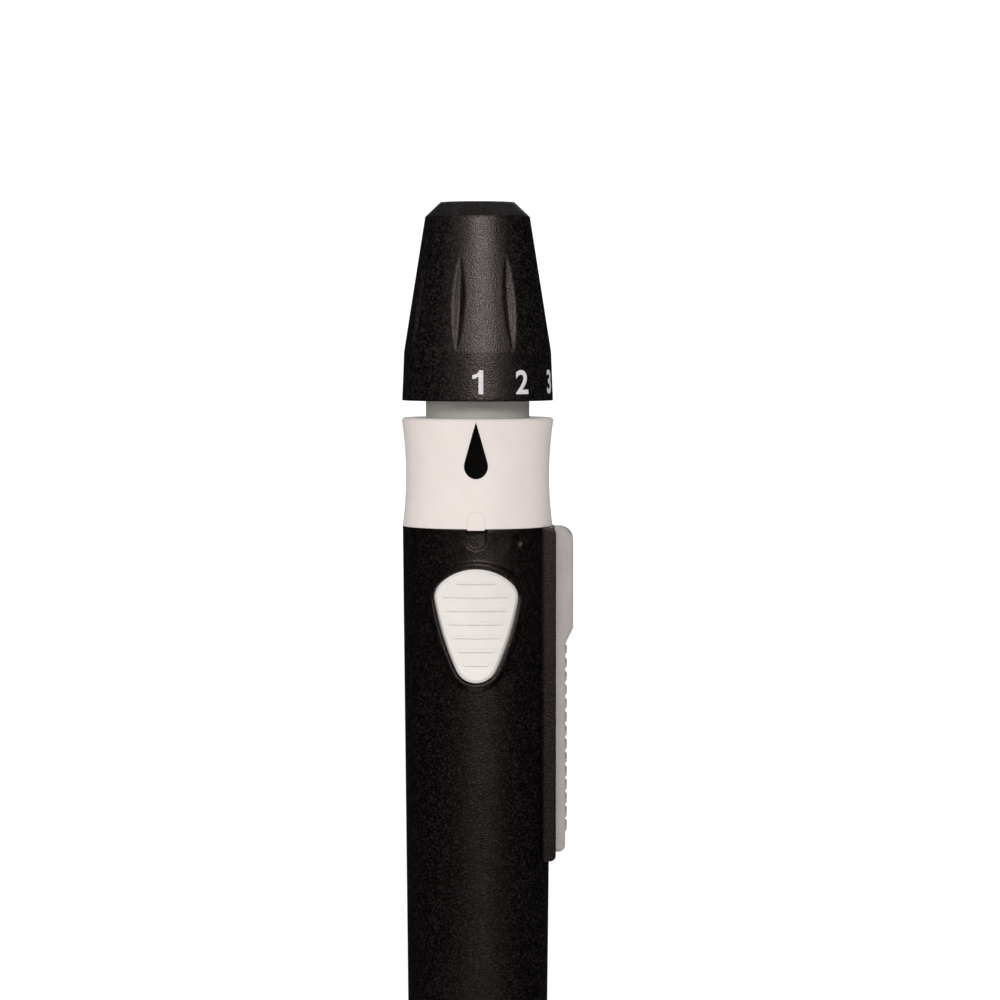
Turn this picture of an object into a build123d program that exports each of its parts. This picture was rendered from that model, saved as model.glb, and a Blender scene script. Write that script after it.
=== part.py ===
from build123d import *

import math
import os

# Sizes are in millimetres and degrees. +Z runs along the barrel towards the tip, the base lies on
# Z = 0, the release button faces -Y and the side slider is on +X.

# Barrel
BARREL_LENGTH = 70.3          # base to the shoulder under the collar
BARREL_TOP_RADIUS = 8.7
BARREL_TAPER = 0.72           # how much thinner the barrel is at its base
SHELL_WALL = 1.2
PLUG_HEIGHT = 4.0             # part of the end plug that shows
PLUG_EDGE = 0.9               # bevel round the base
BORE_STEP_DROP = 2.0          # button's flange to the step where the barrel's bore gets narrower
SPIGOT_LENGTH = 5.5           # part of the barrel inside the collar
SPIGOT_WALL = 1.0
LIP_HEIGHT = 0.6              # lap of one shell behind the other at the seam
LIP_THICKNESS = 0.5
DIMPLE_ANGLE = 33.0           # small moulded dimple, from the front towards +X
DIMPLE_DROP = 1.45            # barrel's shoulder to the dimple
DIMPLE_RADIUS = 0.75
DIMPLE_DEPTH = 0.25

# Collar
COLLAR_HEIGHT = 12.6
COLLAR_FLARE = 0.1            # rim beyond the barrel's top radius
COLLAR_WAIST = 0.4            # waist inside the barrel's top radius
COLLAR_WALL = 1.25
COLLAR_EDGE = 0.25            # bevel round the collar's upper rim
KEY_WIDTH = 2.0
KEY_RISE = 2.0                # key above the collar's lower edge
KEY_DROP = 0.1                # key below the collar's lower edge
KEY_STAND = 0.15              # key beyond the barrel's top radius
NOTCH_DEPTH = 2.3
NOTCH_CUT = 1.0               # depth of the notch in the barrel's wall

# Dial
NECK_GAP = 2.0                # grey neck that shows at setting 1
NECK_STEP = 2.7               # neck inside the barrel's top radius
NECK_WALL = 1.0
SLEEVE_SHARE = 0.35           # part of the dial's cone that the sleeve reaches into
DIAL_FLARE = 0.05             # skirt beyond the barrel's top radius
DIAL_SKIRT_HEIGHT = 5.6
DIAL_SHOULDER_STEP = 0.22     # skirt's edge over the foot of the cone
DIAL_CONE_HEIGHT = 15.6
DIAL_CONE_TAPER = 2.46
DIAL_NOSE_HEIGHT = 1.7
DIAL_NOSE_BEVEL = 1.78
NOSE_LIP = 1.29               # flat ring round the hole in the tip
DIAL_WALL = 1.6
DIAL_SEAT = 0.6               # share of the sleeve's wall that the dial rests on
DIAL_STEP = 3.9               # foot of the nose to the step in the dial's bore
FLUTE_COUNT = 8
FLUTE_FIRST_ANGLE = -15.2     # from the front, positive towards +X
FLUTE_LENGTH = 11.4
FLUTE_WIDTH = 1.6
FLUTE_DEPTH = 0.55
DEPTH_SETTINGS = 5
SETTING_ANGLE = 36.0
SETTING_STEP = 0.35           # how far the tip moves from one number to the next

# Release button
BUTTON_TOP_DROP = 4.5         # barrel's shoulder to the button's upper edge
BUTTON_WIDTH = 9.6
BUTTON_HEIGHT = 13.0
BUTTON_TOP_ARC = 0.604 * BUTTON_WIDTH
BUTTON_CORNER_ARC = 0.23 * BUTTON_WIDTH
BUTTON_SIDE_ARC = 2.3 * BUTTON_HEIGHT
BUTTON_TIP_ARC = 0.26 * BUTTON_WIDTH
BUTTON_STAND = 0.75           # button's face beyond the barrel's
BUTTON_TRAVEL = 1.0
DISH_DEPTH = 0.5
DISH_DROP = 0.48 * BUTTON_HEIGHT          # button's upper edge to the middle of its hollow
BUTTON_RIB_COUNT = 7
BUTTON_RIB_PITCH = 0.12 * BUTTON_HEIGHT
BUTTON_RIB_DROP = 0.115 * BUTTON_HEIGHT   # button's upper edge to the first rib
BUTTON_RIB_MARGIN = 1.05
BUTTON_RIB_HEIGHT = 0.2
BUTTON_RIB_THICKNESS = 0.34
BUTTON_EDGE = 0.35            # bevel round the button's face
RIM_WIDTH = 1.0               # raised rim round the button's window
RIM_RISE = 0.4
FLANGE_LIP = 0.7              # button's flange beyond its edge, inside the shell
FLANGE_THICKNESS = 0.75
STEM_DROP = 0.17 * BUTTON_HEIGHT          # button's upper edge to the middle of its stem
STEM_HEIGHT = 1.6
STEM_WIDTH = 2.4
SPRING_HOLE = 1.7             # radius of the button spring's pocket
SPRING_HOLE_RISE = 0.23 * BUTTON_HEIGHT   # button's lower edge to the pocket's middle
SPRING_HOLE_DEPTH = 0.5       # pocket in the frame's wall
BUTTON_SKIN = 1.0             # button's face to the bottom of the pocket in it

# Side slider and its rail
RAIL_WIDTH = 8.7
RAIL_RISE = 0.42              # rail's face beyond the barrel's top radius
RAIL_DEPTH = 1.52             # rail's face to its inner edge
RAIL_LENGTH = 38.6
RAIL_FOOT = 1.0               # part of the rail below the slider
RAIL_ROUND = 0.7              # the rail's outer corners
CHANNEL_DEPTH = 0.3           # slider's bed in the rail
SLIDER_TOP_DROP = 0.1         # barrel's shoulder to the slider's upper end
SLIDER_LENGTH = RAIL_LENGTH - SLIDER_TOP_DROP - RAIL_FOOT
SLIDER_WIDTH = 7.2
SLIDER_THICKNESS = 1.28
SLIDER_EDGE = 0.3             # bevel along both sides
SLIDER_TOP_ROUND = 1.6
SLIDER_ROUND = 0.8            # the slider's other outer corners
PAD_THICKNESS = 2.18
PAD_LENGTH = 11.5
PAD_SLOPE = 1.85
SLIDER_TRAVEL = 12.0
SLIDER_RIB_COUNT = 14
SLIDER_RIB_LEAD = 0.9         # foot of the pad's slope to the first rib
SLIDER_RIB_TAIL = 2.7         # last rib to the slider's lower end
SLIDER_RIB_BASE = 0.7
SLIDER_RIB_CREST = 0.3
SLIDER_RIB_HEIGHT = 0.18
SLIDER_RIB_MARGIN = 0.6       # rib's end to the slider's edge
ARM_DROP = 0.327 * BARREL_LENGTH          # barrel's shoulder to the top of the slider's arm
ARM_HEIGHT = 4.0
ARM_WIDTH = 2.4
NECK_LEDGE = 0.3              # slider's neck beyond its arm on each side
PLATE_HEIGHT = 6.0            # slider's inner plate, which keeps it on the rail
PLATE_WIDTH = 5.2
PIN_RADIUS = 1.0
PIN_WALL = 0.4                # arm's ring round the pin

# Carrier, frame and springs
FRAME_SHARE = 0.5862          # frame's radius as a share of the barrel's top radius
FRAME_WALL = 1.0
FRAME_FLANGE = 0.8            # frame's foot beyond its tube
SHELL_RIB_WIDTH = 1.35        # shell ribs that hold the frame
SHELL_RIB_GAP = 0.4           # button's flange to the upper rib
CARRIER_WALL = 0.9
CARRIER_HEEL = 3.0            # solid part below the ejector's slot
SOCKET_DEPTH = 7.0
SOCKET_STAND = 10.7           # socket's mouth above the barrel's shoulder
COCK_TRAVEL = 5.0
STRIKE_TRAVEL = 5.0
ROD_STEP = 1.9                # rod inside the carrier's radius
ROD_END_Z = 0.121 * BARREL_LENGTH
SPRING_WALL_Z = 0.256 * BARREL_LENGTH
SPRING_WALL = 2.0
CLIP_THICKNESS = 0.9
CLIP_RIM = 1.4                # clip beyond the rod
CLIP_SHARE = 0.775            # rod that is left in the clip's groove
CLIP_MOUTH = 0.8              # clip's opening as a share of its bore
CLIP_STAND = 1.1              # rod's end to the clip
LATCH_LENGTH = 12.0
LATCH_WIDTH = 2.8
LATCH_THICKNESS = 1.0
LATCH_GAP = 0.6
HOOK_LENGTH = 1.4
HOOK_ROOT = 0.3               # hook's foot inside the latch arm
DRIVE_WIRE = 0.7
RETURN_WIRE = 0.5
BUTTON_WIRE = 0.36
DRIVE_SPACING = 5.0           # springs' pitches in wire widths
RETURN_SPACING = 6.0
BUTTON_SPACING = 4.6

# Click ring, the sleeve's groove for it and the helical grooves that turn rotation into depth
SLEEVE_FLANGE = 1.1
CLICK_THICKNESS = 0.85
CLICK_DEPTH = 0.4
CLICK_SPLIT = 1.2
EAR_REACH = 0.5
EAR_WIDTH = 1.6
LUG_SIZE = 0.9
LUG_ROOT = 1.0                # lug's foot inside the collar's web
GROOVE_DEPTH = 0.45
GROOVE_OVERCUT = 0.4          # cutter that stands out of the sleeve
GROOVE_END_ANGLE = 8.0

# Clearances
SEAT = 0.05                   # pieces that stay together
RUN = 0.2                     # pieces that move past each other
END_RUN = 0.3                 # free space at the end of a travel

# Levels along the axis
SHOULDER_Z = BARREL_LENGTH
INSIDE_TOP = SHOULDER_Z - SHELL_WALL
SPIGOT_TOP = SHOULDER_Z + SPIGOT_LENGTH
COLLAR_TOP = SHOULDER_Z + COLLAR_HEIGHT
DIAL_Z = COLLAR_TOP + NECK_GAP
CONE_Z = DIAL_Z + DIAL_SKIRT_HEIGHT
NOSE_Z = CONE_Z + DIAL_CONE_HEIGHT
TIP_Z = NOSE_Z + DIAL_NOSE_HEIGHT
BUTTON_TOP = SHOULDER_Z - BUTTON_TOP_DROP
BUTTON_LOW = BUTTON_TOP - BUTTON_HEIGHT
BORE_STEP_Z = BUTTON_LOW - FLANGE_LIP - BORE_STEP_DROP
ARM_TOP = SHOULDER_Z - ARM_DROP
ARM_Z = ARM_TOP - ARM_HEIGHT
PLATE_TOP = ARM_Z + PLATE_HEIGHT
RAIL_Z = SHOULDER_Z - RAIL_LENGTH
SLIDER_TOP = SHOULDER_Z - SLIDER_TOP_DROP
SLIDER_LOW = SLIDER_TOP - SLIDER_LENGTH
SOCKET_MOUTH = SHOULDER_Z + SOCKET_STAND
SOCKET_FLOOR = SOCKET_MOUTH - SOCKET_DEPTH
CARRIER_Z = ARM_Z - STRIKE_TRAVEL - END_RUN - CARRIER_HEEL
CLIP_Z = ROD_END_Z + CLIP_STAND
STEM_Z = BUTTON_TOP - STEM_DROP
LATCH_TOP = STEM_Z + STEM_HEIGHT / 2 + COCK_TRAVEL      # with the carrier at rest
REAR_RIB_Z = SPRING_WALL_Z + SPRING_WALL + SEAT
FRONT_RIB_Z = BUTTON_TOP + FLANGE_LIP + SHELL_RIB_GAP
BUTTON_SPRING_Z = BUTTON_LOW + SPRING_HOLE_RISE
ADVANCE = (DEPTH_SETTINGS - 1) * SETTING_STEP
LEAD = SETTING_STEP * 360 / SETTING_ANGLE
SLEEVE_Z = SPIGOT_TOP + ADVANCE + 2 * SEAT
SLEEVE_TOP = CONE_Z + SLEEVE_SHARE * DIAL_CONE_HEIGHT
FLANGE_Z = SLEEVE_Z + SLEEVE_FLANGE
CLICK_GROOVE_TOP = FLANGE_Z + CLICK_THICKNESS + 2 * SEAT
WEB_Z = CLICK_GROOVE_TOP + END_RUN
LUG_Z = WEB_Z + LUG_SIZE


def barrel_radius(z):
    """Outer radius of the tapered barrel at a height."""
    return BARREL_TOP_RADIUS - BARREL_TAPER * (1 - z / BARREL_LENGTH)


# Radii about the axis, and depths from it, from the outside inwards
LOWER_BORE = barrel_radius(PLUG_HEIGHT) - SHELL_WALL
UPPER_BORE = barrel_radius(BORE_STEP_Z) - SHELL_WALL
NOTCH_FLOOR = BARREL_TOP_RADIUS - NOTCH_CUT
COLLAR_WAIST_RADIUS = BARREL_TOP_RADIUS - COLLAR_WAIST
COLLAR_BORE = COLLAR_WAIST_RADIUS - COLLAR_WALL
SPIGOT_RADIUS = COLLAR_BORE - SEAT
SPIGOT_BORE = SPIGOT_RADIUS - SPIGOT_WALL
NECK_RADIUS = BARREL_TOP_RADIUS - NECK_STEP
CLICK_GROOVE_RADIUS = NECK_RADIUS - CLICK_DEPTH
FRAME_RADIUS = FRAME_SHARE * BARREL_TOP_RADIUS
FRAME_BORE = FRAME_RADIUS - FRAME_WALL
CARRIER_RADIUS = FRAME_BORE - RUN
SOCKET_RADIUS = CARRIER_RADIUS - CARRIER_WALL
ROD_RADIUS = CARRIER_RADIUS - ROD_STEP
CLIP_BORE = CLIP_SHARE * ROD_RADIUS
RAIL_X = BARREL_TOP_RADIUS + RAIL_RISE
POCKET_X = RAIL_X - RAIL_DEPTH
SLIDER_X = RAIL_X - CHANNEL_DEPTH + RUN / 2
BUTTON_FACE = barrel_radius((BUTTON_TOP + BUTTON_LOW) / 2) + BUTTON_STAND
FLANGE_RADIUS = UPPER_BORE - RUN / 2
FLANGE_BORE = FLANGE_RADIUS - FLANGE_THICKNESS
BUTTON_SEAT_Y = FRAME_BORE + SPRING_HOLE_DEPTH
BUTTON_POCKET_Y = BUTTON_FACE - BUTTON_SKIN

UPRIGHT = (Align.CENTER, Align.CENTER, Align.MIN)
FAR = 40.0                    # longer than any piece is wide


def disc(radius, z0, z1):
    return Pos(0, 0, z0) * Cylinder(radius, z1 - z0, align=UPRIGHT)


def ring(outer, inner, z0, z1):
    return disc(outer, z0, z1) - disc(inner, z0, z1)


def block(x0, x1, y0, y1, z0, z1):
    return Pos((x0 + x1) / 2, (y0 + y1) / 2, (z0 + z1) / 2) * Box(x1 - x0, y1 - y0, z1 - z0)


def turned(*points):
    """Solid of revolution from (radius, height) points."""
    return revolve(Plane.XZ * make_face(Polyline(*points, close=True)), Axis.Z)


def cross_rod(radius, y0, y1, z):
    """Round rod along Y in front of the axis."""
    return Pos(0, y0, z) * Rot(90, 0, 0) * Cylinder(radius, y0 - y1, align=UPRIGHT)


def coil(mean_radius, wire, length, spacing):
    """Spring along +Z from Z = 0. Spacing is the wanted pitch in wire widths."""
    rise = length - wire
    turns = max(2, round(rise / (spacing * wire)))
    path = Helix(rise / turns, rise, mean_radius, center=(0, 0, wire / 2))
    start = Plane(origin=path @ 0, x_dir=(1, 0, 0), z_dir=path % 0)
    return sweep(start * Rectangle(wire, wire), path, is_frenet=True)


def button_outline(grow):
    """Face in the button's outline, set out by an even margin. Drawn in X and Z."""
    top = (0, BUTTON_TOP - BUTTON_TOP_ARC)
    corner_x = BUTTON_WIDTH / 2 - BUTTON_CORNER_ARC
    corner_reach = BUTTON_TOP_ARC - BUTTON_CORNER_ARC
    corner = (corner_x, top[1] + math.sqrt(corner_reach**2 - corner_x**2))
    tip = (0, BUTTON_LOW + BUTTON_TIP_ARC)
    # The side arc holds the corner's and the tip's arcs inside it.
    to_corner = BUTTON_SIDE_ARC - BUTTON_CORNER_ARC
    to_tip = BUTTON_SIDE_ARC - BUTTON_TIP_ARC
    span = math.dist(corner, tip)
    along = (to_corner**2 - to_tip**2 + span**2) / (2 * span)
    across = math.sqrt(to_corner**2 - along**2)
    ux = (tip[0] - corner[0]) / span
    uz = (tip[1] - corner[1]) / span
    side = (corner[0] + along * ux + across * uz, corner[1] + along * uz - across * ux)
    a = math.degrees(math.atan2(corner[1] - top[1], corner[0] - top[0]))
    b = math.degrees(math.atan2(corner[1] - side[1], corner[0] - side[0]))
    c = math.degrees(math.atan2(tip[1] - side[1], tip[0] - side[0]))
    left_corner = (-corner[0], corner[1])
    left_side = (-side[0], side[1])
    arcs = [
        CenterArc(top, BUTTON_TOP_ARC + grow, a, 180 - 2 * a),
        CenterArc(left_corner, BUTTON_CORNER_ARC + grow, 180 - a, a - b),
        CenterArc(left_side, BUTTON_SIDE_ARC + grow, 180 - b, b - c),
        CenterArc(tip, BUTTON_TIP_ARC + grow, 180 - c, 180 + 2 * c),
        CenterArc(side, BUTTON_SIDE_ARC + grow, c, b - c),
        CenterArc(corner, BUTTON_CORNER_ARC + grow, b, a - b),
    ]
    return make_face(arcs)


def button_prism(grow):
    """Bar along -Y with the button's outline."""
    near = Pos(0, -FRAME_BORE / 2, 0) * (Plane.XZ * button_outline(grow))
    return extrude(near, amount=FAR, dir=(0, -1, 0))


def front_face(part):
    """The face furthest towards -Y."""
    return part.faces().sort_by(Axis.Y)[0]


def barrel():
    """Both shells in one piece, before they are parted at the seam."""
    body = turned(
        (0, PLUG_HEIGHT),
        (barrel_radius(PLUG_HEIGHT), PLUG_HEIGHT),
        (BARREL_TOP_RADIUS, SHOULDER_Z),
        (SPIGOT_RADIUS, SHOULDER_Z),
        (SPIGOT_RADIUS, SPIGOT_TOP),
        (0, SPIGOT_TOP),
    )
    rail = make_face(Polyline(
        (POCKET_X, RAIL_Z),
        (RAIL_X, RAIL_Z),
        (RAIL_X, SHOULDER_Z),
        (POCKET_X, SHOULDER_Z),
        close=True,
    ))
    rail = fillet(rail.vertices().group_by(Axis.X)[-1], RAIL_ROUND)
    body += extrude(Plane.XZ * rail, amount=RAIL_WIDTH / 2, both=True)
    body -= disc(LOWER_BORE, PLUG_HEIGHT, BORE_STEP_Z)
    body -= disc(UPPER_BORE, BORE_STEP_Z, INSIDE_TOP)
    body -= disc(SPIGOT_BORE, INSIDE_TOP, SPIGOT_TOP)
    for bore, z in ((LOWER_BORE, REAR_RIB_Z), (UPPER_BORE, FRONT_RIB_Z)):
        body += ring(bore + SHELL_WALL / 2, FRAME_RADIUS + SEAT, z, z + SHELL_RIB_WIDTH)
    return body


def slider_openings():
    """The slider's bed in the rail, the slot for its neck and the pocket behind it."""
    low = ARM_Z - END_RUN
    half = ARM_WIDTH / 2 + NECK_LEDGE + RUN
    slot = block(0, FAR, -half, half, low, PLATE_TOP + SLIDER_TRAVEL + END_RUN)
    half = PLATE_WIDTH / 2 + RUN
    pocket = block(FRAME_RADIUS, POCKET_X, -half, half, low, FRONT_RIB_Z)
    half = SLIDER_WIDTH / 2 + RUN
    bed = block(RAIL_X - CHANNEL_DEPTH, FAR, -half, half, SLIDER_LOW - END_RUN, SPIGOT_TOP)
    return (slot - disc(FRAME_RADIUS, low, SPIGOT_TOP)) + pocket + bed


def seam_lip(clearance):
    """Thin band inside the wall that laps the seam on both sides of the barrel."""
    wide = LIP_THICKNESS + clearance
    band = ring(LOWER_BORE + wide, LOWER_BORE, PLUG_HEIGHT, BORE_STEP_Z)
    band += ring(UPPER_BORE + wide, UPPER_BORE, BORE_STEP_Z, INSIDE_TOP)
    return band & block(-FAR, FAR, 0, LIP_HEIGHT + clearance, PLUG_HEIGHT, INSIDE_TOP)


def button_rim():
    """Raised rim round the button's window, bevelled towards the barrel."""
    middle = (BUTTON_TOP + BUTTON_LOW) / 2
    band = ring(barrel_radius(middle) + RIM_RISE, UPPER_BORE + SHELL_WALL / 2, 0, SPIGOT_TOP)
    rim = button_prism(RIM_WIDTH) & band
    return chamfer(front_face(rim).edges(), RIM_RISE)


def dimple():
    """Ball that leaves a shallow round dimple in the front of the barrel."""
    z = SHOULDER_Z - DIMPLE_DROP
    ball = (DIMPLE_RADIUS**2 + DIMPLE_DEPTH**2) / (2 * DIMPLE_DEPTH)
    centre = barrel_radius(z) + ball - DIMPLE_DEPTH
    return Rot(0, 0, DIMPLE_ANGLE - 90) * Pos(centre, 0, z) * Sphere(ball)


def front_shell():
    body = split(barrel(), bisect_by=Plane.XZ, keep=Keep.TOP) + seam_lip(0)
    body -= slider_openings()
    body += button_rim()
    body -= button_prism(RUN)
    half = KEY_WIDTH / 2 + RUN
    low = SHOULDER_Z - NOTCH_DEPTH + half
    notch = block(-half, half, -FAR, 0, low, SHOULDER_Z) + cross_rod(half, 0, -FAR, low)
    body -= notch - disc(NOTCH_FLOOR, 0, SPIGOT_TOP)
    return body - dimple()


def back_shell():
    body = split(barrel(), bisect_by=Plane.XZ, keep=Keep.BOTTOM) - seam_lip(SEAT)
    return body - slider_openings()


def end_plug():
    """Closes the lower end of both shells."""
    rim = barrel_radius(PLUG_HEIGHT)
    spigot = LOWER_BORE - SEAT
    return turned(
        (0, 0),
        (rim - PLUG_EDGE, 0),
        (rim, PLUG_EDGE),
        (rim, PLUG_HEIGHT),
        (spigot, PLUG_HEIGHT),
        (spigot, 2 * PLUG_HEIGHT),
        (spigot - SHELL_WALL, 2 * PLUG_HEIGHT),
        (spigot - SHELL_WALL, SHELL_WALL),
        (0, SHELL_WALL),
    )


def inner_frame():
    """Tube that guides the carrier between the two shells."""
    head_z = FRONT_RIB_Z + SHELL_RIB_WIDTH + SEAT
    body = disc(FRAME_RADIUS, SPRING_WALL_Z, SPIGOT_TOP)
    body += disc(FRAME_RADIUS + FRAME_FLANGE, SPRING_WALL_Z, SPRING_WALL_Z + SPRING_WALL)
    body += disc(SPIGOT_BORE - SEAT, head_z, SPIGOT_TOP)
    body -= disc(FRAME_BORE, SPRING_WALL_Z + SPRING_WALL, SPIGOT_TOP)
    body -= disc(ROD_RADIUS + RUN, SPRING_WALL_Z, SPRING_WALL_Z + SPRING_WALL)
    half = ARM_WIDTH / 2 + 2 * RUN
    body -= block(0, FAR, -half, half, ARM_Z - END_RUN, ARM_TOP + SLIDER_TRAVEL + END_RUN)
    half = LATCH_WIDTH / 2 + RUN
    low = STEM_Z - STEM_HEIGHT / 2 - END_RUN
    body -= block(-half, half, -FAR, 0, low, LATCH_TOP - COCK_TRAVEL + END_RUN)
    return body - cross_rod(SPRING_HOLE, -BUTTON_SEAT_Y, -FAR, BUTTON_SPRING_Z)


def lancet_carrier():
    """Holder with the socket, the latch arm and the rod behind it."""
    slot_z = ARM_Z - STRIKE_TRAVEL - END_RUN
    slot_top = ARM_TOP + SLIDER_TRAVEL + COCK_TRAVEL + END_RUN
    body = disc(CARRIER_RADIUS, CARRIER_Z, SOCKET_MOUTH)
    body += disc(ROD_RADIUS, ROD_END_Z, CARRIER_Z)
    body -= disc(SOCKET_RADIUS, SOCKET_FLOOR, SOCKET_MOUTH)
    body -= disc(PIN_RADIUS + PIN_WALL + RUN, slot_z, SOCKET_FLOOR)
    half = ARM_WIDTH / 2 + RUN
    body -= block(0, FAR, -half, half, slot_z, slot_top)
    # The latch arm is parted from the tube on three sides and underneath.
    half = LATCH_WIDTH / 2
    root = LATCH_TOP - LATCH_LENGTH
    under = CARRIER_RADIUS - LATCH_THICKNESS
    gap = block(-half - LATCH_GAP, half + LATCH_GAP, -FAR, LATCH_GAP - under, root, LATCH_TOP + LATCH_GAP)
    body -= gap - block(-half, half, -FAR, -under, root, LATCH_TOP)
    hook = ring(FRAME_BORE - SEAT, CARRIER_RADIUS - HOOK_ROOT, LATCH_TOP - HOOK_LENGTH, LATCH_TOP)
    body += hook & block(-half, half, -FAR, 0, 0, SOCKET_MOUTH)
    return body - ring(FRAME_BORE, CLIP_BORE - SEAT, CLIP_Z - SEAT, CLIP_Z + CLIP_THICKNESS + SEAT)


def spring_clip():
    """Open clip in the groove of the carrier's rod."""
    body = ring(ROD_RADIUS + CLIP_RIM, CLIP_BORE, CLIP_Z, CLIP_Z + CLIP_THICKNESS)
    mouth = CLIP_MOUTH * CLIP_BORE
    return body - block(0, FAR, -mouth, mouth, CLIP_Z, CLIP_Z + CLIP_THICKNESS)


def drive_spring():
    z0 = SPRING_WALL_Z + SPRING_WALL
    mean = (ROD_RADIUS + FRAME_BORE) / 2
    return Pos(0, 0, z0) * coil(mean, DRIVE_WIRE, CARRIER_Z - z0, DRIVE_SPACING)


def return_spring():
    z0 = CLIP_Z + CLIP_THICKNESS
    mean = ROD_RADIUS + RUN + RETURN_WIRE
    return Pos(0, 0, z0) * coil(mean, RETURN_WIRE, SPRING_WALL_Z - z0, RETURN_SPACING)


def button_form(rise):
    """Space behind the button's face, which is hollow along the barrel, with the face raised by a little."""
    face = BUTTON_FACE + rise
    outline = [
        Line((0, BUTTON_LOW), (face, BUTTON_LOW)),
        ThreePointArc((face, BUTTON_LOW), (face - DISH_DEPTH, BUTTON_TOP - DISH_DROP), (face, BUTTON_TOP)),
        Line((face, BUTTON_TOP), (0, BUTTON_TOP)),
        Line((0, BUTTON_TOP), (0, BUTTON_LOW)),
    ]
    return revolve(Plane.XZ * make_face(outline), Axis.Z)


def release_button():
    core = disc(FLANGE_BORE, 0, SPIGOT_TOP)
    body = (button_prism(0) & button_form(0)) - core
    body = chamfer(front_face(body).edges(), BUTTON_EDGE)
    rib_area = button_prism(-BUTTON_RIB_MARGIN) & button_form(BUTTON_RIB_HEIGHT)
    for i in range(BUTTON_RIB_COUNT):
        z = BUTTON_TOP - BUTTON_RIB_DROP - i * BUTTON_RIB_PITCH
        half = BUTTON_RIB_THICKNESS / 2
        body += (rib_area & block(-FAR, FAR, -FAR, 0, z - half, z + half)) - core
    body += button_prism(FLANGE_LIP) & ring(FLANGE_RADIUS, FLANGE_BORE, 0, SPIGOT_TOP)
    tip = FRAME_BORE + SEAT + BUTTON_TRAVEL
    half = STEM_WIDTH / 2
    low = STEM_Z - STEM_HEIGHT / 2
    body += block(-half, half, -FLANGE_RADIUS, -tip, low, low + STEM_HEIGHT)
    return body - cross_rod(SPRING_HOLE, 0, -BUTTON_POCKET_Y, BUTTON_SPRING_Z)


def button_spring():
    mean = SPRING_HOLE - RUN - BUTTON_WIRE / 2
    spring = coil(mean, BUTTON_WIRE, BUTTON_POCKET_Y - BUTTON_SEAT_Y, BUTTON_SPACING)
    return Pos(0, -BUTTON_SEAT_Y, BUTTON_SPRING_Z) * Rot(90, 0, 0) * spring


def side_slider():
    """Thumb slider with its neck, inner plate and arm in one moulding."""
    face = SLIDER_X + SLIDER_THICKNESS
    pad_z = SLIDER_TOP - PAD_LENGTH
    slope_z = pad_z - PAD_SLOPE
    profile = make_face(Polyline(
        (SLIDER_X, SLIDER_LOW),
        (face, SLIDER_LOW),
        (face, slope_z),
        (SLIDER_X + PAD_THICKNESS, pad_z),
        (SLIDER_X + PAD_THICKNESS, SLIDER_TOP),
        (SLIDER_X, SLIDER_TOP),
        close=True,
    ))
    outer = profile.vertices().sort_by(Axis.X)[2:].sort_by(Axis.Y)
    profile = fillet(outer[:3], SLIDER_ROUND)
    profile = fillet(profile.vertices().sort_by(Axis.X).sort_by(Axis.Y)[-1:], SLIDER_TOP_ROUND)
    body = extrude(Plane.XZ * profile, amount=SLIDER_WIDTH / 2, both=True)
    sides = body.faces().sort_by(Axis.Y)
    edges = sides[0].edges() + sides[-1].edges()
    body = chamfer([e for e in edges if e.center().X > SLIDER_X + SEAT], SLIDER_EDGE)
    rib_outline = make_face(Polyline(
        (0, -SLIDER_RIB_BASE / 2),
        (SLIDER_RIB_HEIGHT, -SLIDER_RIB_CREST / 2),
        (SLIDER_RIB_HEIGHT, SLIDER_RIB_CREST / 2),
        (0, SLIDER_RIB_BASE / 2),
        close=True,
    ))
    rib = extrude(Plane.XZ * rib_outline, amount=SLIDER_WIDTH / 2 - SLIDER_RIB_MARGIN, both=True)
    first = slope_z - SLIDER_RIB_LEAD
    pitch = (first - SLIDER_LOW - SLIDER_RIB_TAIL) / (SLIDER_RIB_COUNT - 1)
    for i in range(SLIDER_RIB_COUNT):
        body += Pos(face, 0, first - i * pitch) * rib
    plate_x = POCKET_X - RUN
    half = ARM_WIDTH / 2 + NECK_LEDGE
    body += block(plate_x, face, -half, half, ARM_Z, PLATE_TOP)
    half = PLATE_WIDTH / 2
    body += block(FRAME_RADIUS + 2 * RUN, plate_x, -half, half, ARM_Z, PLATE_TOP)
    half = ARM_WIDTH / 2
    body += block(0, plate_x, -half, half, ARM_Z, ARM_TOP)
    body += disc(PIN_RADIUS + PIN_WALL, ARM_Z, ARM_TOP)
    return body - disc(PIN_RADIUS, ARM_Z, ARM_TOP)


def ejector_pin():
    return disc(PIN_RADIUS, ARM_Z, SOCKET_FLOOR - COCK_TRAVEL - END_RUN)


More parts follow.
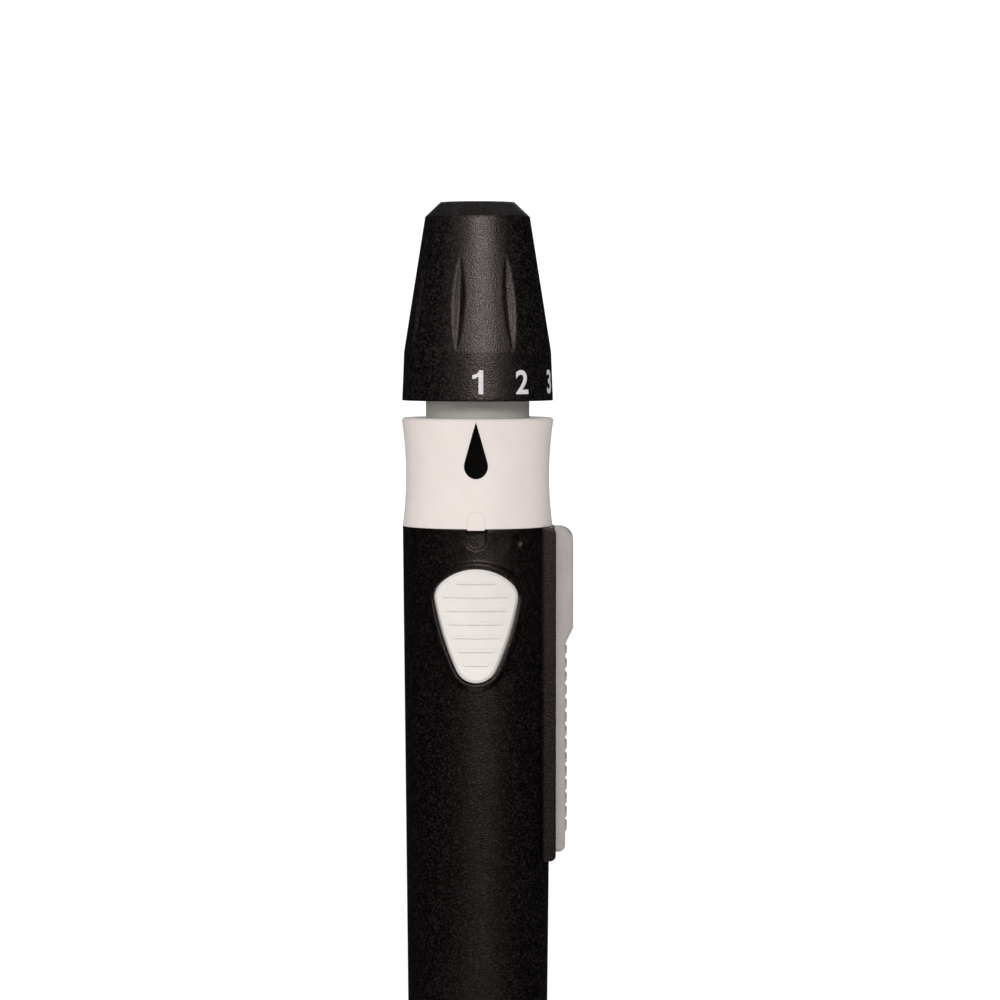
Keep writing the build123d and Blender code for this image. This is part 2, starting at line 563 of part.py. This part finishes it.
def endcap_collar():
    """Waisted collar that slips over the barrel's spigot and carries the dial."""
    low = SHOULDER_Z + SEAT
    rim = BARREL_TOP_RADIUS + COLLAR_FLARE
    edge_z = COLLAR_TOP - COLLAR_EDGE
    waist = (COLLAR_WAIST_RADIUS, (low + edge_z) / 2)
    outline = [
        Line((0, low), (BARREL_TOP_RADIUS, low)),
        ThreePointArc((BARREL_TOP_RADIUS, low), waist, (rim, edge_z)),
        Line((rim, edge_z), (rim - COLLAR_EDGE, COLLAR_TOP)),
        Line((rim - COLLAR_EDGE, COLLAR_TOP), (0, COLLAR_TOP)),
        Line((0, COLLAR_TOP), (0, low)),
    ]
    body = revolve(Plane.XZ * make_face(outline), Axis.Z)
    half = KEY_WIDTH / 2
    cap_z = low + KEY_RISE - half
    key = block(-half, half, -FAR, 0, SHOULDER_Z - KEY_DROP, cap_z) + cross_rod(half, 0, -FAR, cap_z)
    key &= ring(BARREL_TOP_RADIUS + KEY_STAND, NOTCH_FLOOR, 0, COLLAR_TOP)
    body += key - disc(NOTCH_FLOOR + RUN, 0, low)
    body -= disc(COLLAR_BORE, low, WEB_Z)
    body -= disc(NECK_RADIUS + RUN / 2, WEB_Z, COLLAR_TOP)
    reach = COLLAR_BORE + EAR_REACH + SEAT
    half = EAR_WIDTH / 2 + SEAT
    body -= block(-reach, reach, -half, half, low, WEB_Z)
    half = LUG_SIZE / 2
    tip = NECK_RADIUS - GROOVE_DEPTH + RUN / 2
    lug = block(-half, half, -NECK_RADIUS - LUG_ROOT, -tip, LUG_Z - half, LUG_Z + half)
    return body + lug + Rot(0, 0, 180) * lug


def depth_sleeve():
    """Grey neck with its flange, the click ring's groove and two helical grooves."""
    body = disc(NECK_RADIUS, SLEEVE_Z, SLEEVE_TOP)
    body += disc(COLLAR_BORE - RUN, SLEEVE_Z, FLANGE_Z)
    body -= disc(NECK_RADIUS - NECK_WALL, SLEEVE_Z, SLEEVE_TOP)
    body -= ring(COLLAR_BORE, CLICK_GROOVE_RADIUS, FLANGE_Z, CLICK_GROOVE_TOP)
    turn = (DEPTH_SETTINGS - 1) * SETTING_ANGLE + 2 * GROOVE_END_ANGLE
    start_z = LUG_Z - LEAD * GROOVE_END_ANGLE / 360
    mean = NECK_RADIUS + (GROOVE_OVERCUT - GROOVE_DEPTH) / 2
    path = Helix(LEAD, LEAD * turn / 360, mean, center=(0, 0, start_z))
    start = Plane(origin=path @ 0, x_dir=(1, 0, 0), z_dir=path % 0)
    section = start * Rectangle(GROOVE_DEPTH + GROOVE_OVERCUT, LUG_SIZE + 2 * RUN)
    groove = sweep(section, path, is_frenet=True)
    for angle in (-90, 90):
        body -= Rot(0, 0, angle - GROOVE_END_ANGLE) * groove
    return body


def click_ring():
    """Split ring in the sleeve's groove, kept from turning by two ears in the collar."""
    z0 = FLANGE_Z + SEAT
    z1 = z0 + CLICK_THICKNESS
    half = EAR_WIDTH / 2
    reach = COLLAR_BORE + EAR_REACH
    body = disc(COLLAR_BORE - RUN, z0, z1) + block(-reach, reach, -half, half, z0, z1)
    body -= disc(CLICK_GROOVE_RADIUS + SEAT, z0, z1)
    return body - block(-CLICK_SPLIT / 2, CLICK_SPLIT / 2, 0, FAR, z0, z1)


def depth_dial():
    """Fluted cone with the skirt that carries the numbers."""
    skirt = BARREL_TOP_RADIUS + DIAL_FLARE
    foot = skirt - DIAL_SHOULDER_STEP
    neck = foot - DIAL_CONE_TAPER
    nose = neck - DIAL_NOSE_BEVEL
    bore = NECK_RADIUS + SEAT
    ledge = NECK_RADIUS - DIAL_SEAT * NECK_WALL
    hole = nose - NOSE_LIP
    step_z = NOSE_Z - DIAL_STEP
    body = turned(
        (bore, DIAL_Z),
        (skirt, DIAL_Z),
        (foot, CONE_Z),
        (neck, NOSE_Z),
        (nose, TIP_Z),
        (hole, TIP_Z),
        (hole, NOSE_Z),
        (neck - DIAL_WALL, NOSE_Z),
        (neck - DIAL_WALL, step_z),
        (ledge, step_z),
        (ledge, SLEEVE_TOP),
        (bore, SLEEVE_TOP),
    )
    # Each flute is cut by a large wheel with a V-shaped edge, deepest halfway along its length.
    slope = math.hypot(DIAL_CONE_TAPER, DIAL_CONE_HEIGHT)
    up_x = -DIAL_CONE_TAPER / slope
    up_z = DIAL_CONE_HEIGHT / slope
    wheel_radius = (FLUTE_LENGTH**2 / 4 + FLUTE_DEPTH**2) / (2 * FLUTE_DEPTH)
    out = wheel_radius - FLUTE_DEPTH
    mid_x = foot + up_x * FLUTE_LENGTH / 2 + up_z * out
    mid_z = CONE_Z + up_z * FLUTE_LENGTH / 2 - up_x * out
    side = Cone(wheel_radius, wheel_radius - 2 * FLUTE_DEPTH, FLUTE_WIDTH, align=UPRIGHT)
    wheel = Pos(mid_x, 0, mid_z) * Rot(90, 0, 0) * (side + mirror(side, Plane.XY))
    for i in range(FLUTE_COUNT):
        body -= Rot(0, 0, FLUTE_FIRST_ANGLE - 90 + i * 360 / FLUTE_COUNT) * wheel
    return body


PIECES = [
    front_shell,
    back_shell,
    end_plug,
    inner_frame,
    lancet_carrier,
    spring_clip,
    drive_spring,
    return_spring,
    release_button,
    button_spring,
    side_slider,
    ejector_pin,
    endcap_collar,
    depth_sleeve,
    click_ring,
    depth_dial,
]

os.makedirs("parts", exist_ok=True)
for piece in PIECES:
    export_step(piece(), f"parts/{piece.__name__}.step")
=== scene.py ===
import math

import bmesh
import bpy
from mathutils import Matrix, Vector
from mathutils.bvhtree import BVHTree


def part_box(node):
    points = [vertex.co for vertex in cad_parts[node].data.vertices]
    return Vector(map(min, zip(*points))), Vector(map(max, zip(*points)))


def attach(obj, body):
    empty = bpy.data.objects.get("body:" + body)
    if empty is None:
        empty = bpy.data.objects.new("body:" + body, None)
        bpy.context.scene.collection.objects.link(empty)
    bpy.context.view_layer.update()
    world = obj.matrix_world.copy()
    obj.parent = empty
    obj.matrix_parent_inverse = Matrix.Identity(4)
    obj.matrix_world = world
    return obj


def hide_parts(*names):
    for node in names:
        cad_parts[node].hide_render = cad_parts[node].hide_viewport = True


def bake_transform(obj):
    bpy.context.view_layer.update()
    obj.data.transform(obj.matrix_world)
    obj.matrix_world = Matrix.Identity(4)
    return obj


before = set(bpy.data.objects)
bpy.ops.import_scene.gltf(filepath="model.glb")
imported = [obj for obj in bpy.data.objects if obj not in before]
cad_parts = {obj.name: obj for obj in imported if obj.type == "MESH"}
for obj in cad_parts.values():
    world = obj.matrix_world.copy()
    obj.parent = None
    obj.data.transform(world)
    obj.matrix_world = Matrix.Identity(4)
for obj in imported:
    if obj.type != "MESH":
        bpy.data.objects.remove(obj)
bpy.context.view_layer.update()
MM = 0.001


# Materials. Sizes of patterns are in mm

CLOUD_SIZE = 3.0                # patches of paler and darker plastic
PLASTIC_SWING = 0.06            # how far roughness varies on pale plastic
GRAIN_SIZE = 0.17               # grains of the black plastic
GLINT_SPECK_RANGE = (0.5, 0.95)       # chance values at which a grain starts to carry a painted glint (a light speck in the colour), and carries a full one
GLOSS_SIZE = 2.5                # patches of more and less gloss on the black plastic
GLOSS_SWING = 0.015
WARM_SHINE = (1, 0.86, 0.83, 1)
SCATTER_RADIUS = (1.0, 0.8, 0.7)
SCATTER_DEPTH = 1.2
BLOT_SIZE = 0.35                # uneven ink
INK_GRAIN_SIZE = 0.2
INK_SWING = 0.08
STEEL_MARK_SIZE = 0.12
STEEL_GLOSS_SIZE = 0.3
STEEL_DARK = (0.5, 0.5, 0.51)
STEEL_LIGHT = (0.66, 0.66, 0.67)
STEEL_ROUGHNESS = (0.22, 0.4)
BEVEL_SAMPLES = 6


def new_material(name):
    material = bpy.data.materials.new(name)
    material.use_nodes = True
    tree = material.node_tree
    shader = tree.nodes["Principled BSDF"]
    return material, tree, shader


def noise(tree, size_mm, detail):
    """Noise with features of about this size, fixed to the piece."""
    place = tree.nodes.new("ShaderNodeTexCoord")
    node = tree.nodes.new("ShaderNodeTexNoise")
    node.inputs["Scale"].default_value = 1 / (size_mm * MM)
    node.inputs["Detail"].default_value = detail
    tree.links.new(place.outputs["Object"], node.inputs["Vector"])
    return node.outputs["Fac"]


def grains(tree, size_mm):
    """Grains of about this size: the distance from each one's middle, and a chance colour for each."""
    place = tree.nodes.new("ShaderNodeTexCoord")
    node = tree.nodes.new("ShaderNodeTexVoronoi")
    node.inputs["Scale"].default_value = 1 / (size_mm * MM)
    tree.links.new(place.outputs["Object"], node.inputs["Vector"])
    return node.outputs["Distance"], node.outputs["Color"]


def spread(tree, value, low, high, start=0.3, end=0.7):
    """Stretches the part of a value from start to end over the range from low to high."""
    node = tree.nodes.new("ShaderNodeMapRange")
    node.inputs["From Min"].default_value = start
    node.inputs["From Max"].default_value = end
    node.inputs["To Min"].default_value = low
    node.inputs["To Max"].default_value = high
    tree.links.new(value, node.inputs["Value"])
    return node.outputs["Result"]


def tinted(tree, value, dark, light):
    """Colour between dark and light, by a value from 0 to 1."""
    node = tree.nodes.new("ShaderNodeMix")
    node.data_type = "RGBA"
    node.inputs["A"].default_value = (*dark, 1)
    node.inputs["B"].default_value = (*light, 1)
    tree.links.new(value, node.inputs["Factor"])
    return node.outputs["Result"]


def soft_edges(tree, radius_mm):
    """Normal that rounds the sharp edges of a moulding."""
    node = tree.nodes.new("ShaderNodeBevel")
    node.samples = BEVEL_SAMPLES
    node.inputs["Radius"].default_value = radius_mm * MM
    return node.outputs["Normal"]


def bumped(tree, height, depth_mm, normal):
    """Normal with a relief of this depth."""
    node = tree.nodes.new("ShaderNodeBump")
    node.inputs["Strength"].default_value = 1.0
    node.inputs["Distance"].default_value = depth_mm * MM
    tree.links.new(height, node.inputs["Height"])
    tree.links.new(normal, node.inputs["Normal"])
    return node.outputs["Normal"]


def moulded(name, dark, light, rough, specular, grain_mm, grain_depth, edge_mm, translucency=0.0):
    """Moulded plastic: cloudy colour, a fine grain and slightly rounded edges."""
    material, tree, shader = new_material(name)
    cloud = spread(tree, noise(tree, CLOUD_SIZE, detail=4.0), 0.0, 1.0)
    tree.links.new(tinted(tree, cloud, dark, light), shader.inputs["Base Color"])
    grain = noise(tree, grain_mm, detail=3.0)
    gloss = spread(tree, grain, rough - PLASTIC_SWING, rough + PLASTIC_SWING)
    tree.links.new(gloss, shader.inputs["Roughness"])
    normal = bumped(tree, grain, grain_depth, soft_edges(tree, edge_mm))
    tree.links.new(normal, shader.inputs["Normal"])
    shader.inputs["Specular IOR Level"].default_value = specular
    if translucency:
        shader.inputs["Subsurface Weight"].default_value = translucency
        shader.inputs["Subsurface Radius"].default_value = SCATTER_RADIUS
        shader.inputs["Subsurface Scale"].default_value = SCATTER_DEPTH * MM
    return material


def eroded_black(name, dark, light, rough, specular, grain_depth, edge_mm):
    """Black plastic from a spark-eroded mould: every grain catches the light in its own way, and some grains
    carry painted glints, light specks in the colour.
    """
    material, tree, shader = new_material(name)
    pits, chance = grains(tree, GRAIN_SIZE)
    painted_glints = spread(tree, chance, 0.0, 1.0, *GLINT_SPECK_RANGE)
    # painted glints: light specks in the base colour on some grains, standing in for grains that catch the
    # light
    tree.links.new(tinted(tree, painted_glints, dark, light), shader.inputs["Base Color"])
    gloss = spread(tree, noise(tree, GLOSS_SIZE, detail=3.0), rough - GLOSS_SWING, rough + GLOSS_SWING)
    tree.links.new(gloss, shader.inputs["Roughness"])
    normal = bumped(tree, pits, grain_depth, soft_edges(tree, edge_mm))
    tree.links.new(normal, shader.inputs["Normal"])
    shader.inputs["Specular IOR Level"].default_value = specular
    shader.inputs["Specular Tint"].default_value = WARM_SHINE
    return material


def printed(name, dark, light, rough, specular):
    """Pad-printed ink: a thin, slightly uneven film."""
    material, tree, shader = new_material(name)
    blot = spread(tree, noise(tree, BLOT_SIZE, detail=2.0), 0.0, 1.0)
    tree.links.new(tinted(tree, blot, dark, light), shader.inputs["Base Color"])
    gloss = spread(tree, noise(tree, INK_GRAIN_SIZE, detail=2.0), rough - INK_SWING, rough + INK_SWING)
    tree.links.new(gloss, shader.inputs["Roughness"])
    shader.inputs["Specular IOR Level"].default_value = specular
    return material


def drawn_steel(name):
    """Spring wire and pins, with fine marks from drawing."""
    material, tree, shader = new_material(name)
    marks = spread(tree, noise(tree, STEEL_MARK_SIZE, detail=3.0), 0.0, 1.0)
    tree.links.new(tinted(tree, marks, STEEL_DARK, STEEL_LIGHT), shader.inputs["Base Color"])
    gloss = spread(tree, noise(tree, STEEL_GLOSS_SIZE, detail=2.0), *STEEL_ROUGHNESS)
    tree.links.new(gloss, shader.inputs["Roughness"])
    shader.inputs["Metallic"].default_value = 1.0
    return material


# the light colours of the black plastics are painted glints, the colour of the light specks
black_barrel = eroded_black(
    "black_barrel", dark=(0.0006, 0.0005, 0.0005), light=(0.018, 0.0143, 0.0135),
    rough=0.37, specular=0.55, grain_depth=0.022, edge_mm=0.4)
black_dial = eroded_black(
    "black_dial", dark=(0.0008, 0.0007, 0.0007), light=(0.026, 0.0225, 0.0225),
    rough=0.37, specular=0.63, grain_depth=0.026, edge_mm=0.5)
white_collar = moulded(
    "white_collar", dark=(0.83, 0.765, 0.74), light=(0.86, 0.80, 0.78),
    rough=0.42, specular=0.4, grain_mm=0.3, grain_depth=0.003, edge_mm=0.12, translucency=0.15)
white_button = moulded(
    "white_button", dark=(0.83, 0.80, 0.77), light=(0.86, 0.83, 0.81),
    rough=0.4, specular=0.4, grain_mm=0.3, grain_depth=0.003, edge_mm=0.03, translucency=0.15)
grey_neck = moulded(
    "grey_neck", dark=(0.43, 0.43, 0.40), light=(0.47, 0.47, 0.44),
    rough=0.45, specular=0.3, grain_mm=0.3, grain_depth=0.003, edge_mm=0.1)
grey_slider = moulded(
    "grey_slider", dark=(0.425, 0.393, 0.382), light=(0.475, 0.44, 0.425),
    rough=0.48, specular=0.3, grain_mm=0.25, grain_depth=0.006, edge_mm=0.15)
inner_plastic = moulded(
    "inner_plastic", dark=(0.5, 0.52, 0.55), light=(0.56, 0.58, 0.61),
    rough=0.4, specular=0.4, grain_mm=0.4, grain_depth=0.004, edge_mm=0.1)
spring_steel = drawn_steel("spring_steel")
white_ink = printed(
    "white_ink", dark=(0.66, 0.66, 0.70), light=(0.75, 0.75, 0.79), rough=0.5, specular=0.3)
black_ink = printed(
    "black_ink", dark=(0.0010, 0.0009, 0.0008), light=(0.0025, 0.0022, 0.0019), rough=0.5, specular=0.05)

FINISHES = {
    "front_shell": black_barrel,
    "back_shell": black_barrel,
    "end_plug": black_barrel,
    "inner_frame": inner_plastic,
    "lancet_carrier": inner_plastic,
    "spring_clip": spring_steel,
    "drive_spring": spring_steel,
    "return_spring": spring_steel,
    "release_button": white_button,
    "button_spring": spring_steel,
    "side_slider": grey_slider,
    "ejector_pin": spring_steel,
    "endcap_collar": white_collar,
    "depth_sleeve": grey_neck,
    "click_ring": spring_steel,
    "depth_dial": black_dial,
}
for node, material in FINISHES.items():
    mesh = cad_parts[node].data
    mesh.materials.clear()
    mesh.materials.append(material)


# Springs, each held by the barrel at one end and by a moving body at the other

def stretched(name, node):
    """Coil that stands for a CAD spring: a copy of its mesh set in world place, with the CAD node hidden."""
    coil = bpy.data.objects.new(name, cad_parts[node].data.copy())
    bpy.context.scene.collection.objects.link(coil)
    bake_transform(coil)
    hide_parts(node)


stretched("drive_coil", "drive_spring")
stretched("return_coil", "return_spring")
stretched("button_coil", "button_spring")


# Print that lies on the CAD surfaces

INK_RISE = 0.02 * MM
INK_SINK = 0.03 * MM
INK_EDGE = 0.25 * MM          # longest edge that isn't divided further
INK_DIVISIONS = 3
SETTINGS = 5
FIGURE_HEIGHT = 2.75 * MM
FIGURE_LEVEL = 87.1 * MM
FIGURE_WEIGHT = 0.022         # how much the font's strokes are thickened
FIGURE_CURVE_STEPS = 6
FIRST_FIGURE = 1.4            # degrees from the front
FIGURE_STEP = 36              # degrees from one figure to the next
DROPLET_APEX = 82.55 * MM
DROPLET_MIDDLE = 77.5 * MM
DROPLET_RADIUS = 1.45 * MM
DROPLET_STEPS = 40
FIGURE_ONE = [                # outline in mm round the figure's middle
    (0.634, -1.365), (0.634, 1.365), (0.19, 1.365), (-0.1, 0.95), (-0.634, 0.8),
    (-0.634, 0.36), (-0.25, 0.44), (0.088, 0.66), (0.088, -1.365),
]


def wrapped(name, flat, azimuth, node, body, ink):
    """Lays a flat print, drawn in X and Z, on a round node and gives it the thickness of ink.

    Azimuth is measured from the front towards +X.
    """
    bmesh.ops.triangulate(flat, faces=flat.faces[:])
    for _ in range(INK_DIVISIONS):
        long_edges = [e for e in flat.edges if e.calc_length() > INK_EDGE]
        bmesh.ops.subdivide_edges(flat, edges=long_edges, cuts=1)
        bmesh.ops.triangulate(flat, faces=flat.faces[:])
    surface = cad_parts[node].data
    tree = BVHTree.FromPolygons([v.co for v in surface.vertices], [p.vertices for p in surface.polygons])
    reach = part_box(node)[1].x
    for vertex in flat.verts:
        angle = azimuth + vertex.co.x / reach
        inward = Vector((-math.sin(angle), math.cos(angle), 0))
        start = Vector((0, 0, vertex.co.z)) - inward * 2 * reach
        hit = tree.ray_cast(start, inward)[0]
        vertex.co = hit - inward * INK_RISE
    grown = bmesh.ops.extrude_face_region(flat, geom=flat.faces[:])
    for vertex in (g for g in grown["geom"] if isinstance(g, bmesh.types.BMVert)):
        outward = Vector((vertex.co.x, vertex.co.y, 0)).normalized()
        vertex.co -= outward * (INK_RISE + INK_SINK)
    bmesh.ops.recalc_face_normals(flat, faces=flat.faces[:])
    mesh = bpy.data.meshes.new(name)
    flat.to_mesh(mesh)
    flat.free()
    mesh.materials.append(ink)
    piece = bpy.data.objects.new(name, mesh)
    bpy.context.scene.collection.objects.link(piece)
    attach(piece, body)


def numeral(character, height, middle):
    """Flat figure in X and Z, of this height, with its middle at this level."""
    curve = bpy.data.curves.new("numeral", "FONT")
    curve.body = character
    curve.size = 1.0
    curve.offset = FIGURE_WEIGHT
    curve.resolution_u = FIGURE_CURVE_STEPS
    curve.fill_mode = "FRONT"
    holder = bpy.data.objects.new("numeral", curve)
    bpy.context.scene.collection.objects.link(holder)
    bpy.context.view_layer.update()
    mesh = bpy.data.meshes.new_from_object(holder.evaluated_get(bpy.context.evaluated_depsgraph_get()))
    bpy.data.objects.remove(holder)
    bpy.data.curves.remove(curve)
    flat = bmesh.new()
    flat.from_mesh(mesh)
    bpy.data.meshes.remove(mesh)
    xs = [v.co.x for v in flat.verts]
    ys = [v.co.y for v in flat.verts]
    scale = height / (max(ys) - min(ys))
    for vertex in flat.verts:
        x = (vertex.co.x - (max(xs) + min(xs)) / 2) * scale
        z = (vertex.co.y - (max(ys) + min(ys)) / 2) * scale + middle
        vertex.co = (x, 0, z)
    return flat


def figure_one(middle):
    """Flat figure 1 with a bent flag, in X and Z."""
    flat = bmesh.new()
    flat.faces.new([flat.verts.new((x * MM, 0, middle + z * MM)) for x, z in FIGURE_ONE])
    return flat


def droplet(apex, middle, radius):
    """Flat drop in X and Z: a round foot with straight sides up to a point."""
    half = math.acos(radius / (apex - middle))
    flat = bmesh.new()
    points = [(0, apex)]
    for i in range(DROPLET_STEPS + 1):
        angle = math.pi / 2 + half + i * (2 * math.pi - 2 * half) / DROPLET_STEPS
        points.append((radius * math.cos(angle), middle + radius * math.sin(angle)))
    flat.faces.new([flat.verts.new((x, 0, z)) for x, z in points])
    return flat


for setting in range(1, SETTINGS + 1):
    if setting == 1:
        figure = figure_one(FIGURE_LEVEL)
    else:
        figure = numeral(str(setting), FIGURE_HEIGHT, FIGURE_LEVEL)
    azimuth = math.radians(FIRST_FIGURE + FIGURE_STEP * (setting - 1))
    wrapped(f"number_{setting}", figure, azimuth, "depth_dial", "dial", white_ink)
drop = droplet(DROPLET_APEX, DROPLET_MIDDLE, DROPLET_RADIUS)
wrapped("droplet_pointer", drop, 0, "endcap_collar", "endcap", black_ink)


# Studio, in metres

FLOOR_REACH = 2
BACKDROP_Y = 1.2
BACKDROP_REACH = 0.7
BACKDROP_TOP = 1.6
PAPER_DARK = (0.9, 0.9, 0.9)
PAPER_LIGHT = (0.93, 0.93, 0.93)
PAPER_SPECULAR = 0.1
PAPER_GLOW = 0.62             # brings the lit paper up to white where it is seen
PULP_SIZE = 4.0               # mm
FELT_DARK = (0.003, 0.003, 0.003)
FELT_LIGHT = (0.006, 0.006, 0.006)
NAP_SIZE = 2.0                # mm
DULL = 0.9                    # roughness of paper and felt
SIDE_FLAG_FOOT = 0.016
SIDE_FLAG_TOP = 0.16
SIDE_FLAG_HEIGHT = 0.45
SIDE_FLAG_NEAR = -0.05
SIDE_FLAG_FAR = 0.5
FRONT_FLAG_REACH = 0.5
FRONT_FLAG_HEIGHT = 0.26
FRONT_FLAG_NEAR = -0.03
FRONT_FLAG_FAR = -0.8
HORIZON_LIGHT = 0.74
ZENITH_LIGHT = 0.15


def plane(name, corners, material):
    mesh = bpy.data.meshes.new(name)
    mesh.from_pydata(corners, [], [tuple(range(len(corners)))])
    mesh.materials.append(material)
    piece = bpy.data.objects.new(name, mesh)
    bpy.context.scene.collection.objects.link(piece)
    return piece


def paper(name):
    """White studio paper that keeps shadows and shows as white."""
    material, tree, shader = new_material(name)
    pulp = spread(tree, noise(tree, PULP_SIZE, detail=3.0), 0.0, 1.0)
    tree.links.new(tinted(tree, pulp, PAPER_DARK, PAPER_LIGHT), shader.inputs["Base Color"])
    shader.inputs["Roughness"].default_value = DULL
    shader.inputs["Specular IOR Level"].default_value = PAPER_SPECULAR
    ray = tree.nodes.new("ShaderNodeLightPath")
    seen = tree.nodes.new("ShaderNodeMath")
    seen.operation = "MAXIMUM"
    tree.links.new(ray.outputs["Is Camera Ray"], seen.inputs[0])
    tree.links.new(ray.outputs["Is Glossy Ray"], seen.inputs[1])
    also = tree.nodes.new("ShaderNodeMath")
    also.operation = "MAXIMUM"
    tree.links.new(seen.outputs[0], also.inputs[0])
    tree.links.new(ray.outputs["Is Transmission Ray"], also.inputs[1])
    glow = tree.nodes.new("ShaderNodeMath")
    glow.operation = "MULTIPLY"
    glow.inputs[1].default_value = PAPER_GLOW
    tree.links.new(also.outputs[0], glow.inputs[0])
    shader.inputs["Emission Color"].default_value = (1, 1, 1, 1)
    tree.links.new(glow.outputs[0], shader.inputs["Emission Strength"])
    return material


def softbox(name, place, aim, width, height, power, colour):
    lamp = bpy.data.lights.new(name, "AREA")
    lamp.shape = "RECTANGLE"
    lamp.size = width
    lamp.size_y = height
    lamp.energy = power
    lamp.color = colour
    holder = bpy.data.objects.new(name, lamp)
    holder.location = place
    holder.rotation_euler = (Vector(aim) - Vector(place)).to_track_quat("-Z", "Y").to_euler()
    bpy.context.scene.collection.objects.link(holder)
    return holder


def felt(name):
    """Black felt on the cards."""
    material, tree, shader = new_material(name)
    nap = spread(tree, noise(tree, NAP_SIZE, detail=3.0), 0.0, 1.0)
    tree.links.new(tinted(tree, nap, FELT_DARK, FELT_LIGHT), shader.inputs["Base Color"])
    shader.inputs["Roughness"].default_value = DULL
    return material


def flag(name, corners, material):
    """Dark card that only reflections see, which keeps white out of the black plastic."""
    card = plane(name, corners, material)
    card.visible_camera = False
    card.visible_diffuse = False
    card.visible_shadow = False


white_paper = paper("white_paper")
plane("floor", [
    (-FLOOR_REACH, -FLOOR_REACH, 0), (FLOOR_REACH, -FLOOR_REACH, 0),
    (FLOOR_REACH, BACKDROP_Y, 0), (-FLOOR_REACH, BACKDROP_Y, 0),
], white_paper)
plane("backdrop", [
    (-BACKDROP_REACH, BACKDROP_Y, 0), (BACKDROP_REACH, BACKDROP_Y, 0),
    (BACKDROP_REACH, BACKDROP_Y, BACKDROP_TOP), (-BACKDROP_REACH, BACKDROP_Y, BACKDROP_TOP),
], white_paper)

softbox("key", place=(0.13, -0.80, 0.43), aim=(0, 0, 0.08), width=0.34, height=0.24,
        power=3.4, colour=(1, 0.94, 0.91))
fill = softbox("fill_left", place=(-0.8, -0.22, 0.3), aim=(0, 0, 0.07), width=0.5, height=0.5,
               power=1.7, colour=(1, 0.95, 0.88))
fill.visible_glossy = False

black_felt = felt("black_felt")
for name, side in (("flag_left", -1), ("flag_right", 1)):
    foot = SIDE_FLAG_FOOT * side
    top = SIDE_FLAG_TOP * side
    flag(name, [
        (foot, SIDE_FLAG_NEAR, 0), (foot, SIDE_FLAG_FAR, 0),
        (top, SIDE_FLAG_FAR, SIDE_FLAG_HEIGHT), (top, SIDE_FLAG_NEAR, SIDE_FLAG_HEIGHT),
    ], black_felt)
flag("flag_front", [
    (-FRONT_FLAG_REACH, FRONT_FLAG_NEAR, 0), (FRONT_FLAG_REACH, FRONT_FLAG_NEAR, 0),
    (FRONT_FLAG_REACH, FRONT_FLAG_FAR, FRONT_FLAG_HEIGHT),
    (-FRONT_FLAG_REACH, FRONT_FLAG_FAR, FRONT_FLAG_HEIGHT),
], black_felt)

world = bpy.data.worlds.new("studio")
world.use_nodes = True
sky = world.node_tree
height = sky.nodes.new("ShaderNodeSeparateXYZ")
sky.links.new(sky.nodes.new("ShaderNodeTexCoord").outputs["Generated"], height.inputs["Vector"])
ceiling = sky.nodes.new("ShaderNodeMapRange")
ceiling.inputs["To Min"].default_value = HORIZON_LIGHT
ceiling.inputs["To Max"].default_value = ZENITH_LIGHT
sky.links.new(height.outputs["Z"], ceiling.inputs["Value"])
sky.links.new(ceiling.outputs["Result"], sky.nodes["Background"].inputs["Strength"])
sky.nodes["Background"].inputs["Color"].default_value = (1, 1, 1, 1)
bpy.context.scene.world = world
bpy.context.scene.view_settings.view_transform = "Standard"


# Camera, level with the dial and a little to the right of the button

CAMERA_PLACE = Vector((0.0098, -0.4319, 0.0935))
CAMERA_AIM = Vector((0.0026, 0.0, 0.0733))
SENSOR_WIDTH = 36             # mm
VIEW_ANGLE = 15.3             # degrees

lens = bpy.data.cameras.new("camera")
lens.sensor_width = SENSOR_WIDTH
lens.angle = math.radians(VIEW_ANGLE)
camera = bpy.data.objects.new("camera", lens)
camera.location = CAMERA_PLACE
camera.rotation_euler = (CAMERA_AIM - CAMERA_PLACE).to_track_quat("-Z", "Y").to_euler()
bpy.context.scene.collection.objects.link(camera)
bpy.context.scene.camera = camera
